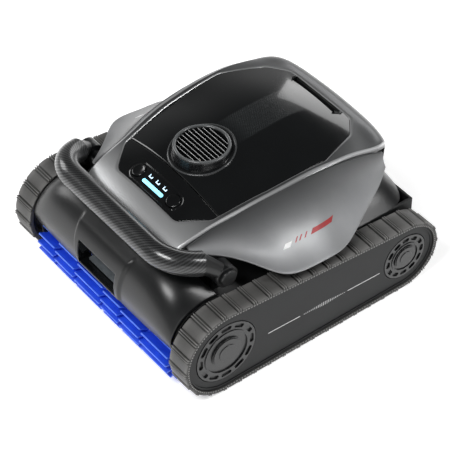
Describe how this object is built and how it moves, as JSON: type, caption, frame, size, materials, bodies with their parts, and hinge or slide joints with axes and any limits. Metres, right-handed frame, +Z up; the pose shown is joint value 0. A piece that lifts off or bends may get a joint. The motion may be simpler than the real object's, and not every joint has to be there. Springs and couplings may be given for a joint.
{
  "type": "pool cleaner",
  "caption": "Cordless tracked pool cleaning robot with a bail handle, a lid with a round outlet grille, a filter basket and a paddle brush across the front.",
  "frame": {"origin": "on the floor, under the middle of the outline", "axes": "+X to the machine's right, -Y its front, +Z up"},
  "size_m": [0.4, 0.442, 0.24],
  "materials": {
    "shell_silver": "satin metallic paint on moulded shell",
    "lid_black": "gloss",
    "panel_black": "gloss",
    "body_charcoal": "semi gloss",
    "chassis_black": "matte",
    "cover_charcoal": "satin",
    "ring_grey": "satin",
    "slat_grey": "satin",
    "belt_rubber": "matte",
    "seal_rubber": "matte",
    "brush_rubber": "satin",
    "brush_core_blue": "satin",
    "carbon_grip": "gloss coat over a carbon weave",
    "sensor_black": "gloss",
    "lit_cyan": "lit diffuser",
    "shaft_steel": "turned",
    "gear_nylon": "satin",
    "motor_can": "satin",
    "battery_blue": "film wrap",
    "board_green": "solder mask",
    "mesh_grey": "woven mesh",
    "contact_brass": "plated"
  },
  "bodies": {
    "chassis": {"belt_right": "belt_rubber", "belt_left": "belt_rubber", "side_cover_right": "cover_charcoal", "side_cover_left": "cover_charcoal", "wing_right": "shell_silver", "wing_left": "shell_silver", "front_axles": "shaft_steel", "drive_motors": "motor_can", "belt_guides": "gear_nylon", "chassis_tub": "chassis_black", "base_plate": "chassis_black", "base_screws": "shaft_steel", "front_fairing": "body_charcoal", "nose_cover": "body_charcoal", "sensor_window": "sensor_black", "sensor_eye": "sensor_black", "brush_motor": "motor_can", "brush_pin": "shaft_steel", "top_frame": "shell_silver", "upper_body": "body_charcoal", "handle_pins": "chassis_black", "hinge_bracket": "chassis_black", "finger_scoop": "chassis_black", "lid_seal": "seal_rubber", "control_panel": "panel_black", "panel_lights": "lit_cyan", "control_board": "board_green", "pump_motor": "motor_can", "impeller_duct": "chassis_black", "filter_basket": "chassis_black", "filter_mesh": "mesh_grey", "battery_packs": "battery_blue", "charge_contacts": "contact_brass"},
    "handle": {"handle_grip": "carbon_grip", "handle_arms": "body_charcoal"},
    "lid": {"lid": "lid_black", "grille_ring": "ring_grey", "grille_slats": "slat_grey", "hinge_arms": "chassis_black"},
    "brush": {"brush_core": "brush_core_blue", "brush_paddles": "brush_rubber"},
    "impeller": {"impeller": "gear_nylon"},
    "inlet_flap": {"inlet_flap": "seal_rubber"},
    "front_wheel_right": {"front_wheel_right": "cover_charcoal", "front_hub_cap_right": "cover_charcoal"},
    "rear_wheel_right": {"rear_wheel_right": "cover_charcoal", "rear_hub_cap_right": "cover_charcoal", "rear_axle_right": "shaft_steel", "drive_gear_right": "gear_nylon"},
    "pinion_right": {"drive_pinion_right": "gear_nylon"},
    "button_right": {"button_right": "panel_black"},
    "front_wheel_left": {"front_wheel_left": "cover_charcoal", "front_hub_cap_left": "cover_charcoal"},
    "rear_wheel_left": {"rear_wheel_left": "cover_charcoal", "rear_hub_cap_left": "cover_charcoal", "rear_axle_left": "shaft_steel", "drive_gear_left": "gear_nylon"},
    "pinion_left": {"drive_pinion_left": "gear_nylon"},
    "button_left": {"button_left": "panel_black"}
  },
  "joints": [
    {"name": "handle_hinge", "type": "hinge", "parent": "chassis", "child": "handle", "pos_m": [0, -0.121, 0.164], "axis": [-1, 0, 0], "range_deg": [0, 40]},
    {"name": "lid_hinge", "type": "hinge", "parent": "chassis", "child": "lid", "pos_m": [0, -0.108, 0.2038], "axis": [1, 0, 0], "range_deg": [0, 58]},
    {"name": "brush_spin", "type": "hinge", "parent": "chassis", "child": "brush", "pos_m": [0, -0.177, 0.0445], "axis": [1, 0, 0], "continuous": true},
    {"name": "impeller_spin", "type": "hinge", "parent": "chassis", "child": "impeller", "pos_m": [0, -0.0396, 0.18], "axis": [0, 0, 1], "continuous": true},
    {"name": "inlet_flap_hinge", "type": "hinge", "parent": "chassis", "child": "inlet_flap", "pos_m": [0, 0.0595, 0.0589], "axis": [-1, 0, 0], "range_deg": [0, 70]},
    {"name": "rear_wheel_right_spin", "type": "hinge", "parent": "chassis", "child": "rear_wheel_right", "pos_m": [0.178, 0.162, 0.059], "axis": [1, 0, 0], "continuous": true},
    {"name": "front_wheel_right_spin", "type": "hinge", "parent": "chassis", "child": "front_wheel_right", "pos_m": [0.178, -0.15, 0.071], "axis": [1, 0, 0], "continuous": true},
    {"name": "pinion_right_spin", "type": "hinge", "parent": "chassis", "child": "pinion_right", "pos_m": [0.145, 0.1296, 0.059], "axis": [1, 0, 0], "continuous": true},
    {"name": "button_right_press", "type": "slide", "parent": "chassis", "child": "button_right", "axis": [-0.09, 0.3299, -0.9397], "range_m": [0, 0.0015], "stiffness_N_per_m": 400},
    {"name": "rear_wheel_left_spin", "type": "hinge", "parent": "chassis", "child": "rear_wheel_left", "pos_m": [-0.178, 0.162, 0.059], "axis": [1, 0, 0], "continuous": true},
    {"name": "front_wheel_left_spin", "type": "hinge", "parent": "chassis", "child": "front_wheel_left", "pos_m": [-0.178, -0.15, 0.071], "axis": [1, 0, 0], "continuous": true},
    {"name": "pinion_left_spin", "type": "hinge", "parent": "chassis", "child": "pinion_left", "pos_m": [-0.145, 0.1296, 0.059], "axis": [1, 0, 0], "continuous": true},
    {"name": "button_left_press", "type": "slide", "parent": "chassis", "child": "button_left", "axis": [0.09, 0.3299, -0.9397], "range_m": [0, 0.0015], "stiffness_N_per_m": 400}
  ],
  "couplings": [
    {"joint": "front_wheel_right_spin", "follows": "rear_wheel_right_spin", "ratio": 0.81073},
    {"joint": "pinion_right_spin", "follows": "rear_wheel_right_spin", "ratio": -3},
    {"joint": "front_wheel_left_spin", "follows": "rear_wheel_left_spin", "ratio": 0.81073},
    {"joint": "pinion_left_spin", "follows": "rear_wheel_left_spin", "ratio": -3}
  ]
}
